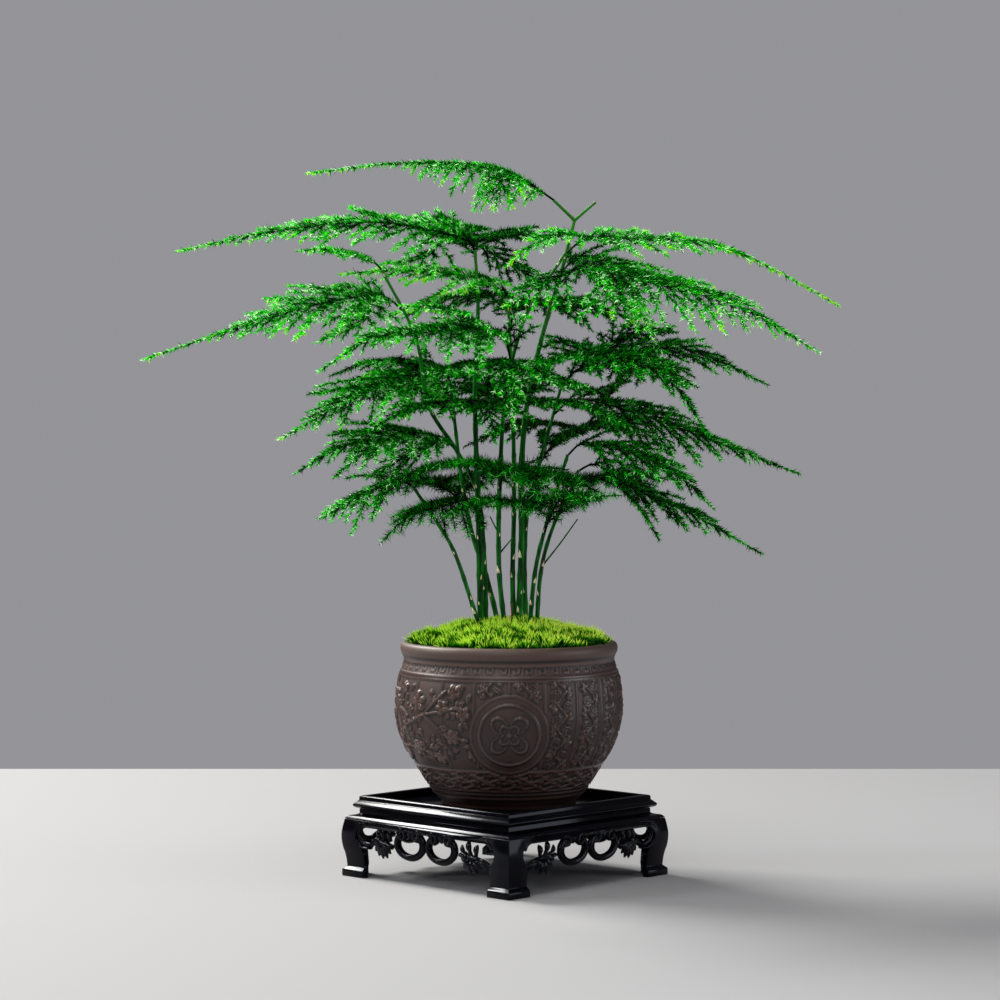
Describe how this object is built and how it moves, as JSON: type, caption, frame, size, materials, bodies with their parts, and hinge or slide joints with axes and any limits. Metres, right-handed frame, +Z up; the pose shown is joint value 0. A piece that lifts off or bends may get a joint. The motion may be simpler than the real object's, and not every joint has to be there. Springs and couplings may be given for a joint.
{
  "type": "potted lace fern",
  "caption": "Lace fern with arching feathery sprays, growing through moss in a round clay pot that stands on a square carved wooden stand.",
  "frame": {"origin": "on the surface that the stand stands on, below the middle of the plant's whole box", "axes": "+Z up; -Y towards the side where the pot's ring ornament and a corner of the stand face; +X to the right of that view"},
  "size_m": [0.4612, 0.2542, 0.4723],
  "materials": {
    "stand_lacquer": "black lacquer on carved hardwood, semi-gloss",
    "pot_clay": "unglazed dark brown clay with a soft sheen",
    "soil": "crumbly potting soil",
    "moss": "fine upright yellow-green moss",
    "stems": "smooth dark green stems with cream scales at the nodes",
    "young_shoot": "young reddish shoot",
    "foliage": "fine needle-like cladodes, bright green"
  },
  "bodies": {
    "root": {"apron_back_left": "stand_lacquer", "apron_back_right": "stand_lacquer", "apron_front_left": "stand_lacquer", "apron_front_right": "stand_lacquer", "frond_back_left": "foliage", "frond_back_low": "foliage", "frond_back_lower": "foliage", "frond_back_middle": "foliage", "frond_back_right": "foliage", "frond_back_top": "foliage", "frond_back_upper": "foliage", "frond_centre_front": "foliage", "frond_centre_low": "foliage", "frond_front_hanging": "foliage", "frond_front_left": "foliage", "frond_front_lower": "foliage", "frond_left_drooping": "foliage", "frond_left_long": "foliage", "frond_left_lower": "foliage", "frond_left_lowest": "foliage", "frond_left_middle": "foliage", "frond_left_row": "foliage", "frond_left_upper": "foliage", "frond_left_upper_tip": "foliage", "frond_right_back": "foliage", "frond_right_front": "foliage", "frond_right_lower": "foliage", "frond_right_lowest": "foliage", "frond_right_middle": "foliage", "frond_right_row": "foliage", "frond_right_top": "foliage", "frond_right_upper": "foliage", "frond_top": "foliage", "leg_back": "stand_lacquer", "leg_front": "stand_lacquer", "leg_left": "stand_lacquer", "leg_right": "stand_lacquer", "moss": "moss", "panel": "stand_lacquer", "pot": "pot_clay", "rail_back_left": "stand_lacquer", "rail_back_right": "stand_lacquer", "rail_front_left": "stand_lacquer", "rail_front_right": "stand_lacquer", "shoot": "young_shoot", "soil": "soil", "stem_centre": "stems", "stem_crossing": "stems", "stem_far_left": "stems", "stem_far_right": "stems", "stem_inner": "stems", "stem_left_arching": "stems", "stem_left_tall": "stems", "stem_right": "stems", "stem_right_bend": "stems", "stem_upright": "stems", "waist_back_left": "stand_lacquer", "waist_back_right": "stand_lacquer", "waist_front_left": "stand_lacquer", "waist_front_right": "stand_lacquer"}
  },
  "joints": []
}
